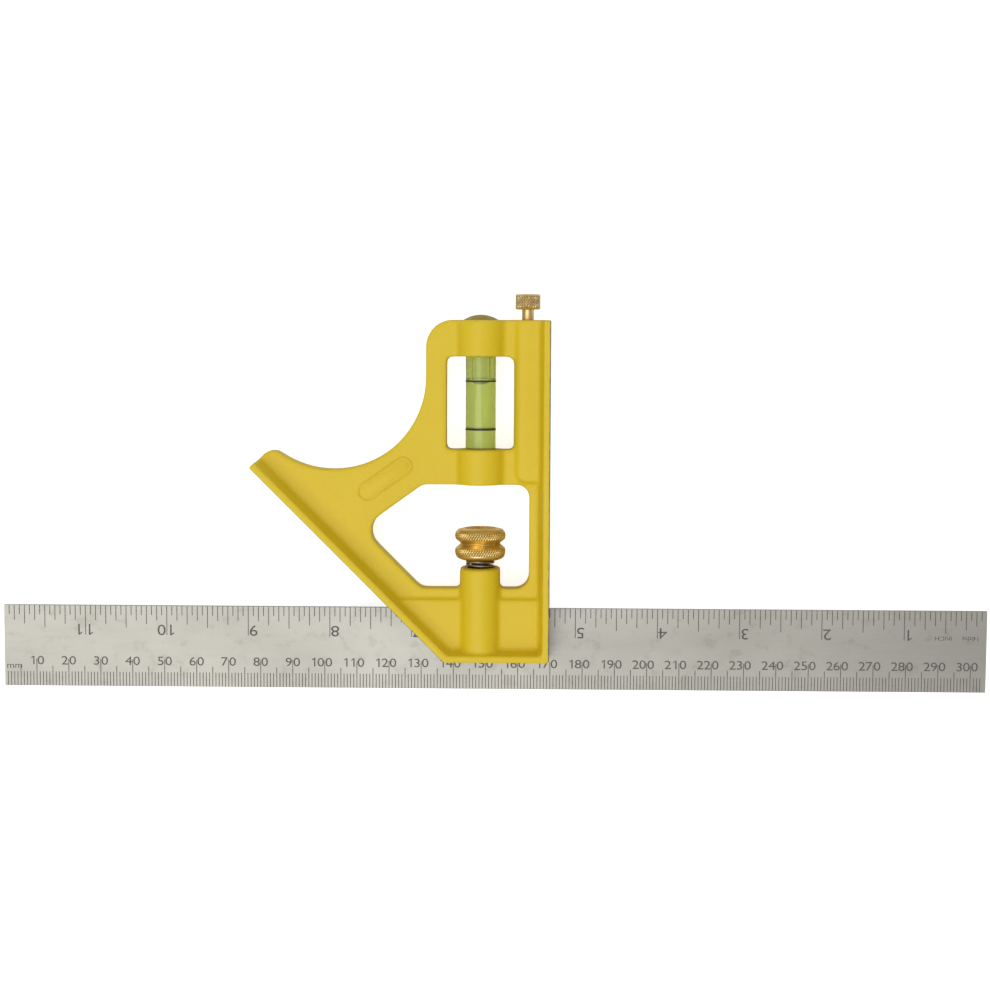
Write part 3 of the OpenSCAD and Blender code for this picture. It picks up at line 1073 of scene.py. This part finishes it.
# noise of one size, stretched along an axis, as a value spread about a half
def makeGrain():
    group, given, out = newGroup("grain", [
        ("Stretch", "NodeSocketVector", (1, 1, 1)),
        ("Per metre", "NodeSocketFloat", 1000.0),
        ("Detail", "NodeSocketFloat", 2.0),
        ("Contrast", "NodeSocketFloat", 1.0),
    ], [("Value", "NodeSocketFloat")])
    spot = addNode(group, "ShaderNodeTexCoord").outputs["Object"]
    scaled = addNode(group, "ShaderNodeVectorMath", {"operation": "MULTIPLY"}, {
        0: spot, 1: given["Stretch"]})
    texture = addNode(group, "ShaderNodeTexNoise", None, {
        "Vector": scaled.outputs[0], "Scale": given["Per metre"],
        "Detail": given["Detail"], "Roughness": 0.55})
    centred = maths(group, "SUBTRACT", texture.outputs[0], 0.5)
    spread = times(group, centred, given["Contrast"])
    group.links.new(maths(group, "ADD", spread, 0.5, clamp=True), out["Value"])
    return group


# masks that are one on worn outer edges and in the bottoms of grooves; the groove mask is where shade
# is painted
def makeEdgeWear():
    group, given, out = newGroup("edgeWearAndGrooveShade", [
        ("Start", "NodeSocketFloat", 0.53),
        ("Full", "NodeSocketFloat", 0.6),
        ("Patch per metre", "NodeSocketFloat", 400.0),
        ("Patchiness", "NodeSocketFloat", 0.5),
        ("Deep", "NodeSocketFloat", 0.42),
    ], [("Edge", "NodeSocketFloat"), ("GrooveShade", "NodeSocketFloat")])
    level = 0.497  # pointiness of a plain surface
    wornThrough = 0.72  # noise over which a patch is wholly worn
    sharp = addNode(group, "ShaderNodeNewGeometry").outputs["Pointiness"]
    spot = addNode(group, "ShaderNodeTexCoord").outputs["Object"]
    patches = addNode(group, "ShaderNodeTexNoise", None, {
        "Vector": spot, "Scale": given["Patch per metre"], "Detail": 3.0})
    ramp = addNode(group, "ShaderNodeMapRange", None, {
        "Value": sharp, "From Min": given["Start"], "From Max": given["Full"]})
    spotty = addNode(group, "ShaderNodeMapRange", None, {
        "Value": patches.outputs[0], "From Min": given["Patchiness"], "From Max": wornThrough})
    groove = addNode(group, "ShaderNodeMapRange", None, {
        "Value": sharp, "From Min": level, "From Max": given["Deep"]})
    group.links.new(times(group, ramp.outputs[0], spotty.outputs[0]), out["Edge"])
    group.links.new(groove.outputs[0], out["GrooveShade"])
    return group


grainGroup = makeGrain()
wearAndShadeGroup = makeEdgeWear()


def grain(tree, perMetre, stretch=(1, 1, 1), detail=2.0, contrast=1.0):
    made = addNode(tree, "ShaderNodeGroup", {"node_tree": grainGroup}, {
        "Stretch": stretch, "Per metre": perMetre, "Detail": detail, "Contrast": contrast})
    return made.outputs["Value"]


# gives the worn edge mask and the painted-shade groove mask
def wear(tree, start, full, perMetre, patchiness, deep):
    made = addNode(tree, "ShaderNodeGroup", {"node_tree": wearAndShadeGroup}, {
        "Start": start, "Full": full, "Patch per metre": perMetre,
        "Patchiness": patchiness, "Deep": deep})
    return made.outputs["Edge"], made.outputs["GrooveShade"]


def mixColour(tree, factor, first, second):
    made = addNode(tree, "ShaderNodeMix", {"data_type": "RGBA"})
    for socket, value in ((made.inputs[0], factor), (made.inputs[6], first), (made.inputs[7], second)):
        if isinstance(value, bpy.types.NodeSocket):
            tree.links.new(value, socket)
        elif isinstance(value, (int, float)):
            socket.default_value = value
        else:
            socket.default_value = (*value, 1)
    return made.outputs[2]


# a 0 to 1 value brought between two numbers
def mapped(tree, value, low, high):
    made = addNode(tree, "ShaderNodeMapRange", None, {"Value": value, "To Min": low, "To Max": high})
    return made.outputs[0]


def newMaterial(name, **constants):
    material = bpy.data.materials.new(name)
    material.use_nodes = True
    tree = material.node_tree
    shader = next(n for n in tree.nodes if n.type == "BSDF_PRINCIPLED")
    for label, value in constants.items():
        shader.inputs[label.replace("_", " ")].default_value = value
    return material, tree, shader


def bump(tree, shader, height, strength, distance):
    made = addNode(tree, "ShaderNodeBump", None, {
        "Height": height, "Strength": strength, "Distance": distance * mm})
    tree.links.new(made.outputs[0], shader.inputs["Normal"])


def feed(tree, shader, **sources):
    for label, source in sources.items():
        tree.links.new(source, shader.inputs[label.replace("_", " ")])


colours = {
    "paint": (0.735, 0.528, 0.012),
    "paintLight": (0.775, 0.565, 0.018),
    # darker yellow, for random speckle and for painted shade in grooves
    "paintSpeckleAndShade": (0.62, 0.43, 0.008),
    # lighter yellow on worn outer edges: partly wear, partly a painted highlight
    "paintWornHighlight": (0.80, 0.62, 0.07),
    "paintDot": (0.28, 0.24, 0.09),
    "bareDark": (0.30, 0.295, 0.285),
    "bareLight": (0.56, 0.55, 0.53),
    # the bare strip beside the ground faces, darkened as painted shade
    "bareEdgeShade": (0.17, 0.14, 0.13),  # the ground faces' own edges
    "rule": (0.365, 0.352, 0.315),
    "ruleLight": (0.430, 0.416, 0.374),
    "ruleCloud": (0.315, 0.300, 0.260),
    "ruleStain": (0.20, 0.18, 0.145),
    "ink": (0.075, 0.071, 0.063),
    "inkWorn": (0.17, 0.162, 0.142),
    "acrylic": (0.91, 0.94, 0.55),
    "acrylicHaze": (0.94, 0.97, 0.62),
    "spirit": (0.67, 0.77, 0.13),
    "spiritSwirl": (0.71, 0.81, 0.16),
    "bubble": (0.97, 0.96, 0.93),
}


bare = {
    # the strip is painted dark: partly bare metal, partly painted shade
    "edge": 0.27,  # width of the bare metal beside the ground faces
    "chips": 0.12,  # how far the paint's edge wanders there
    "mitreShare": 0.35,  # it is narrower along the mitre
    "flush": 0.02,  # what counts as lying in a ground face or the slot
    "slotTop": 0.01,
}


# one where the casting's working faces and slot are bare, and one beside them on the faces seen, where
# the bare strip is painted dark as shade
def bareMasks(tree, axes, chips):
    limit = maths(tree, "ADD", times(tree, chips, bare["chips"] * mm), bare["edge"] * mm)
    fromSquare = times(tree, axes[0], -1.0)
    alongBoth = maths(tree, "ADD", axes[0], axes[1])
    fromMitre = times(tree, maths(tree, "ADD", alongBoth, head["mitreAt"] * mm), 1 / root2)
    nearest = maths(tree, "MINIMUM", fromSquare, fromMitre)
    ground = maths(tree, "LESS_THAN", nearest, bare["flush"] * mm)
    squareEdge = maths(tree, "LESS_THAN", fromSquare, limit)
    mitreEdge = maths(tree, "LESS_THAN", fromMitre, times(tree, limit, bare["mitreShare"]))
    off = maths(tree, "ABSOLUTE", maths(tree, "SUBTRACT", axes[2], midPlane * mm))
    level = maths(tree, "LESS_THAN", off, (head["slotGap"] + bare["flush"]) * mm)
    under = maths(tree, "LESS_THAN", axes[1], bare["slotTop"] * mm)
    ground = maths(tree, "MAXIMUM", ground, times(tree, level, under))
    return ground, maths(tree, "MAXIMUM", squareEdge, mitreEdge)


paintLook = {
    "speckle": 0.2,  # how strongly each layer shows over the paint
    # strength of the lighter edges: partly wear, partly a painted highlight
    "worn": 0.35,
    # strength of the painted shade in grooves and inner corners
    "nookShade": 0.3,
    "dots": 0.6,
    "dotsPerMetre": 62.0,
    "dotSize": 0.024,
    "rough": (0.42, 0.54),
    "groundRough": -0.08,
    "swell": 1.4,  # slow waves, against the fine peel
}


def castPaint():
    material, tree, shader = newMaterial(
        "castPaint", Coat_Weight=0.12, Coat_Roughness=0.3, Specular_IOR_Level=0.32)
    spot = addNode(tree, "ShaderNodeTexCoord").outputs["Object"]
    axes = addNode(tree, "ShaderNodeSeparateXYZ", None, {0: spot}).outputs
    ground, edge = bareMasks(tree, axes, grain(tree, perMetre=420, detail=3.0, contrast=3.0))
    cloud = grain(tree, perMetre=45, detail=3.0, contrast=1.6)
    speckle = grain(tree, perMetre=1900, contrast=2.2)
    paint = mixColour(tree, cloud, colours["paint"], colours["paintLight"])
    paint = mixColour(tree, times(tree, speckle, paintLook["speckle"]), paint, colours["paintSpeckleAndShade"])
    worn, nookShade = wear(tree, start=0.515, full=0.56, perMetre=260, patchiness=0.42, deep=0.44)
    # outer edges turn lighter in patches: partly wear, partly a painted highlight
    paint = mixColour(tree, times(tree, worn, paintLook["worn"]), paint, colours["paintWornHighlight"])
    # grooves and inner corners are darkened: painted shade
    paint = mixColour(tree, times(tree, nookShade, paintLook["nookShade"]), paint, colours["paintSpeckleAndShade"])
    dots = addNode(tree, "ShaderNodeTexVoronoi", {"feature": "F1"}, {
        "Vector": spot, "Scale": paintLook["dotsPerMetre"]})
    dot = maths(tree, "LESS_THAN", dots.outputs["Distance"], paintLook["dotSize"])
    paint = mixColour(tree, times(tree, dot, paintLook["dots"]), paint, colours["paintDot"])
    brushed = grain(tree, perMetre=900, stretch=(1, 1, 0.08), contrast=1.5)
    metal = mixColour(tree, brushed, colours["bareDark"], colours["bareLight"])
    # the strip beside the ground faces: bare metal darkened with painted shade
    colour = mixColour(tree, edge, paint, colours["bareEdgeShade"])
    colour = mixColour(tree, ground, colour, metal)
    rough = mapped(tree, speckle, *paintLook["rough"])
    rough = maths(tree, "ADD", rough, times(tree, ground, paintLook["groundRough"]))
    feed(tree, shader, Base_Color=colour, Metallic=ground, Roughness=rough)
    peel = grain(tree, perMetre=1250, detail=2.5, contrast=1.3)
    swell = grain(tree, perMetre=260, detail=1.0)
    skin = maths(tree, "ADD", peel, times(tree, swell, paintLook["swell"]))
    bump(tree, shader, skin, strength=0.22, distance=0.08)
    return material


ruleLook = {
    "cloud": 0.22,  # how strongly clouds and stains show
    "stain": 0.2,
    "stainPower": 6.0,
    "rough": (0.34, 0.46),
    "cloudRough": 0.08,
}


def brushedRule():
    material, tree, shader = newMaterial("brushedRule", Metallic=1.0, Anisotropic=0.4)
    lines = grain(tree, perMetre=5200, stretch=(0.012, 1, 1), detail=3.0, contrast=2.0)
    coarse = grain(tree, perMetre=900, stretch=(0.02, 1, 1), contrast=1.6)
    cloud = grain(tree, perMetre=26, stretch=(1, 1.6, 1), detail=4.0, contrast=2.2)
    stain = grain(tree, perMetre=240, detail=4.0, contrast=3.2)
    colour = mixColour(tree, lines, colours["rule"], colours["ruleLight"])
    colour = mixColour(tree, times(tree, cloud, ruleLook["cloud"]), colour, colours["ruleCloud"])
    spots = times(tree, maths(tree, "POWER", stain, ruleLook["stainPower"]), ruleLook["stain"])
    colour = mixColour(tree, spots, colour, colours["ruleStain"])
    rough = mapped(tree, lines, *ruleLook["rough"])
    rough = maths(tree, "ADD", rough, times(tree, cloud, ruleLook["cloudRough"]))
    feed(tree, shader, Base_Color=colour, Roughness=rough)
    bump(tree, shader, maths(tree, "ADD", lines, coarse), strength=0.16, distance=0.02)
    return material


def etchedInk():
    material, tree, shader = newMaterial("etchedInk", Metallic=0.0, Specular_IOR_Level=0.25)
    worn = grain(tree, perMetre=1500, detail=3.0, contrast=2.0)
    colour = mixColour(tree, worn, colours["ink"], colours["inkWorn"])
    feed(tree, shader, Base_Color=colour, Roughness=mapped(tree, worn, low=0.5, high=0.8))
    bump(tree, shader, worn, strength=0.2, distance=0.01)
    return material


brasses = {
    # the dark colour marks the turning rings and paints shade into grooves
    "nut": {
        "bright": (0.92, 0.64, 0.19), "dull": (0.74, 0.50, 0.125), "dirtAndShade": (0.20, 0.125, 0.035),
        "worn": (1.0, 0.80, 0.43), "rough": 0.24, "grooveShade": 0.6,
    },
    "knob": {
        "bright": (0.92, 0.70, 0.35), "dull": (0.76, 0.55, 0.25), "dirtAndShade": (0.16, 0.10, 0.04),
        "worn": (1.0, 0.84, 0.53), "rough": 0.26, "grooveShade": 0.8,
    },
    # a darker copy of the brass for the cap and bush: painted shade
    "cap": {
        "bright": (0.44, 0.33, 0.065), "dull": (0.32, 0.235, 0.045), "dirtAndShade": (0.12, 0.09, 0.02),
        "worn": (0.52, 0.40, 0.10), "rough": 0.34, "grooveShade": 0.5,
    },
}


brassLook = {
    "rings": 0.18,  # how strongly turning marks and bright edges show
    "worn": 0.8,
    "tarnishRough": 0.14,
    "ringRough": 0.05,
    "nookRough": 0.25,
}


# bright on worn edges, dull and dark down in the knurl, where the darkening is painted shade
def turnedBrass(name, brass):
    bright, dull, dirtAndShade, rough = brass["bright"], brass["dull"], brass["dirtAndShade"], brass["rough"]
    material, tree, shader = newMaterial(name, Metallic=1.0)
    rings = grain(tree, perMetre=4200, stretch=(0.05, 1, 0.05), contrast=2.0)
    tarnish = grain(tree, perMetre=330, detail=4.0, contrast=2.4)
    worn, nookShade = wear(tree, start=0.502, full=0.55, perMetre=500, patchiness=0.1, deep=0.455)
    colour = mixColour(tree, tarnish, bright, dull)
    colour = mixColour(tree, times(tree, rings, brassLook["rings"]), colour, dirtAndShade)
    colour = mixColour(tree, times(tree, worn, brassLook["worn"]), colour, brass["worn"])
    # the bottoms of grooves are darkened: painted shade
    colour = mixColour(tree, times(tree, nookShade, brass["grooveShade"]), colour, dirtAndShade)
    dullness = mapped(tree, tarnish, rough, rough + brassLook["tarnishRough"])
    dullness = maths(tree, "ADD", dullness, times(tree, rings, brassLook["ringRough"]))
    dullness = maths(tree, "ADD", dullness, times(tree, nookShade, brassLook["nookRough"]))
    feed(tree, shader, Base_Color=colour, Roughness=dullness)
    bump(tree, shader, maths(tree, "ADD", rings, tarnish), strength=0.15, distance=0.02)
    return material


steels = {
    "springSteel": {"bright": (0.44, 0.40, 0.31), "dark": (0.20, 0.175, 0.13), "rough": 0.34},
    "boltSteel": {"bright": (0.48, 0.47, 0.43), "dark": (0.26, 0.25, 0.22), "rough": 0.30},
    "needleSteel": {"bright": (0.58, 0.58, 0.57), "dark": (0.42, 0.42, 0.41), "rough": 0.22},
}


def toolSteel(name, bright, dark, rough, spread=0.2):
    material, tree, shader = newMaterial(name, Metallic=1.0)
    oil = grain(tree, perMetre=420, detail=3.0, contrast=2.2)
    scratches = grain(tree, perMetre=3600, stretch=(1, 0.06, 1), contrast=2.0)
    colour = mixColour(tree, oil, bright, dark)
    dullness = mapped(tree, times(tree, oil, scratches), rough, rough + spread)
    feed(tree, shader, Base_Color=colour, Roughness=dullness)
    bump(tree, shader, scratches, strength=0.12, distance=0.015)
    return material


def clearAcrylic():
    material, tree, shader = newMaterial(
        "clearAcrylic", Transmission_Weight=0.86, IOR=1.38, Metallic=0.0)
    haze = grain(tree, perMetre=300, stretch=(1, 0.1, 1), contrast=1.5)
    colour = mixColour(tree, haze, colours["acrylic"], colours["acrylicHaze"])
    feed(tree, shader, Base_Color=colour, Roughness=mapped(tree, haze, low=0.01, high=0.05))
    return material


def greenSpirit():
    material, tree, shader = newMaterial(
        "greenSpirit", Transmission_Weight=0.96, IOR=1.36, Metallic=0.0)
    swirl = grain(tree, perMetre=90, detail=1.5, contrast=1.2)
    colour = mixColour(tree, swirl, colours["spirit"], colours["spiritSwirl"])
    # the bubble's own surface is colourless
    spot = addNode(tree, "ShaderNodeTexCoord").outputs["Object"]
    axis = (clampAxis * mm, 0, midPlane * mm)
    across = spot
    for operation, by in (("SUBTRACT", axis), ("MULTIPLY", (1, 0, 1))):
        step = addNode(tree, "ShaderNodeVectorMath", {"operation": operation}, {0: across, 1: by})
        across = step.outputs[0]
    away = addNode(tree, "ShaderNodeVectorMath", {"operation": "LENGTH"}, {0: across})
    radius = away.outputs["Value"]
    high = addNode(tree, "ShaderNodeSeparateXYZ", None, {0: spot}).outputs[1]
    within = maths(tree, "LESS_THAN", radius, (vial["bubble"] + vial["bubbleSkin"]) * mm)
    over = maths(tree, "GREATER_THAN", high, (vial["bubbleLow"] - vial["bubbleSkin"]) * mm)
    colour = mixColour(tree, times(tree, within, over), colour, colours["bubble"])
    feed(tree, shader, Base_Color=colour, Roughness=mapped(tree, swirl, low=0.0, high=0.03))
    return material


# the mottle's size is in grains to the metre, and its depth in millimetres
stocks = {
    "lineInk": {
        "light": (0.012, 0.013, 0.010), "dark": (0.03, 0.03, 0.025),
        "perMetre": 2500, "rough": 0.35, "depth": 0.005,
    },
    "plugStock": {
        "light": (0.78, 0.77, 0.70), "dark": (0.66, 0.65, 0.58),
        "perMetre": 900, "rough": 0.35, "depth": 0.02,
    },
    "bedStock": {
        "light": (0.72, 0.70, 0.62), "dark": (0.55, 0.53, 0.46),
        "perMetre": 1400, "rough": 0.7, "depth": 0.06,
    },
}


def mattStock(name, light, dark, perMetre, rough, depth, spread=0.2):
    material, tree, shader = newMaterial(name, Metallic=0.0)
    mottle = grain(tree, perMetre, detail=3.0, contrast=1.6)
    colour = mixColour(tree, mottle, light, dark)
    feed(tree, shader, Base_Color=colour, Roughness=mapped(tree, mottle, rough, rough + spread))
    bump(tree, shader, mottle, strength=0.2, distance=depth)
    return material


def dress(piece, material, body, slot, *nodes):
    piece.data.materials.clear()
    piece.data.materials.append(material)
    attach(piece, body)
    if nodes:
        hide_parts(*nodes)


def paintNode(name, material):
    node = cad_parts[name]
    node.data.materials.clear()
    node.data.materials.append(material)


paint = castPaint()
steel = brushedRule()
ink = etchedInk()
nutBrass = turnedBrass("nutBrass", brasses["nut"])
knobBrass = turnedBrass("knobBrass", brasses["knob"])
# the cap's brass is darker all over: painted shade
shadedCapBrass = turnedBrass("shadedCapBrass", brasses["cap"])
springSteel = toolSteel("springSteel", **steels["springSteel"])
boltSteel = toolSteel("boltSteel", **steels["boltSteel"])
needleSteel = toolSteel("needleSteel", **steels["needleSteel"])
acrylic = clearAcrylic()
spirit = greenSpirit()
lineInk = mattStock("lineInk", **stocks["lineInk"])
plugStock = mattStock("plugStock", **stocks["plugStock"])
bedStock = mattStock("bedStock", **stocks["bedStock"])
print("materials made")

dress(castHead(), paint, "head", "painted_casting", "head_casting")
print("head casting made")
dress(rulePlate(), steel, "rule", "stainless_rule", "blade")
for marks in (metricTicks(), inchTicks(), metricNumbers(), inchNumbers()):
    dress(marks, ink, "rule", "index_ink")
print("rule made")
dress(clampNut(), nutBrass, "nut", "knurled_brass", "clamp_nut")
dress(clampBolt(), boltSteel, "bolt", "bolt_steel", "clamp_bolt")
coil = clampSpring()
coil.data.materials.append(springSteel)
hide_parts("clamp_spring")
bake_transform(coil)
print("clamp made")
dress(vialTube(), acrylic, "head", "clear_acrylic", "vial_tube")
dress(vialSpirit(), spirit, "head", "spirit", "vial_liquid", "vial_bubble")
dress(vialCap(), shadedCapBrass, "head", "cap_brass", "vial_cap")
paintNode("vial_plug", plugStock)
paintNode("vial_bed_lower", bedStock)
paintNode("vial_bed_upper", bedStock)
dress(vialLine("vialLineHigh", "vial_index_upper"), lineInk, "head", "index_ink", "vial_index_upper")
dress(vialLine("vialLineLow", "vial_index_lower"), lineInk, "head", "index_ink", "vial_index_lower")
print("vial made")
dress(scriberHandle(), knobBrass, "scriber", "knurled_brass", "scriber_handle")
dress(scriberNeedle(), needleSteel, "scriber", "needle_steel", "scriber_needle")
paintNode("scriber_bush", shadedCapBrass)
print("scriber made")

studio = {
    "side": 30.0,  # half of the floor's side, in metres
    "floor": (0.82, 0.82, 0.815),
    "glow": 0.72,  # the floor's own light where it is looked at, so that it stays pale
    "vialGlow": 0.5,  # and what it adds behind the vial, which shades it
    "world": (0.98, 0.99, 1.0),
    "worldStrength": 0.42,
    "target": (-0.02, 0.03, 0.01),
    "lamps": {
        "key": {"power": 7.0, "size": 1.1, "from": (-0.33, -0.26, 1.05)},
        "top": {"power": 1.5, "size": 0.6, "from": (0.25, 0.5, 0.9)},
    },
}


def paleFloor():
    material, tree, shader = newMaterial("paleFloor", Roughness=0.9, Specular_IOR_Level=0.1)
    shader.inputs["Base Color"].default_value = (*studio["floor"], 1)
    shader.inputs["Emission Color"].default_value = (1, 1, 1, 1)
    path = addNode(tree, "ShaderNodeLightPath").outputs
    bounced = maths(tree, "MAXIMUM", path["Is Diffuse Ray"], path["Is Glossy Ray"])
    seen = mapped(tree, bounced, studio["glow"], 0.0)
    behind = times(tree, path["Is Transmission Ray"], studio["vialGlow"])
    glow = maths(tree, "ADD", seen, behind)
    tree.links.new(glow, shader.inputs["Emission Strength"])
    return material


def makeStage():
    side = studio["side"]
    mesh = bpy.data.meshes.new("floor")
    corners = [(-side, -side, 0), (side, -side, 0), (side, side, 0), (-side, side, 0)]
    mesh.from_pydata(corners, [], [(0, 1, 2, 3)])
    floor = linked("floor", mesh)
    floor.data.materials.append(paleFloor())
    world = bpy.data.worlds.new("studioWorld")
    world.use_nodes = True
    background = world.node_tree.nodes["Background"]
    background.inputs[0].default_value = (*studio["world"], 1)
    background.inputs[1].default_value = studio["worldStrength"]
    scene.world = world
    for name, given in studio["lamps"].items():
        lamp = bpy.data.lights.new(name + "Light", "AREA")
        lamp.energy = given["power"]
        lamp.size = given["size"]
        holder = linked(name + "Light", lamp)
        holder.location = given["from"]
        aim = Vector(studio["target"]) - holder.location
        holder.rotation_mode = "QUATERNION"
        holder.rotation_quaternion = aim.to_track_quat("-Z", "Y")
    scene.view_settings.view_transform = "Standard"


camera = {
    "lens": 70.9,
    "sensor": 36,
    "near": 0.01,  # metres
    "far": 50,
    "at": (-5.90, 85.43, 609.63),
    "forward": (-0.01834, -0.08368, -0.99632),
    "up": (-0.00603, 0.99648, -0.08358),
}


def makeCamera():
    data = bpy.data.cameras.new("camera")
    data.lens = camera["lens"]
    data.sensor_width = camera["sensor"]
    data.clip_start = camera["near"]
    data.clip_end = camera["far"]
    holder = linked("camera", data)
    back = -Vector(camera["forward"]).normalized()
    side = Vector(camera["up"]).cross(back).normalized()
    turn = Matrix((side, back.cross(side), back)).transposed()
    holder.rotation_mode = "QUATERNION"
    holder.rotation_quaternion = turn.to_quaternion()
    holder.location = Vector(camera["at"]) * mm
    scene.camera = holder


makeStage()
makeCamera()
print("stage made")
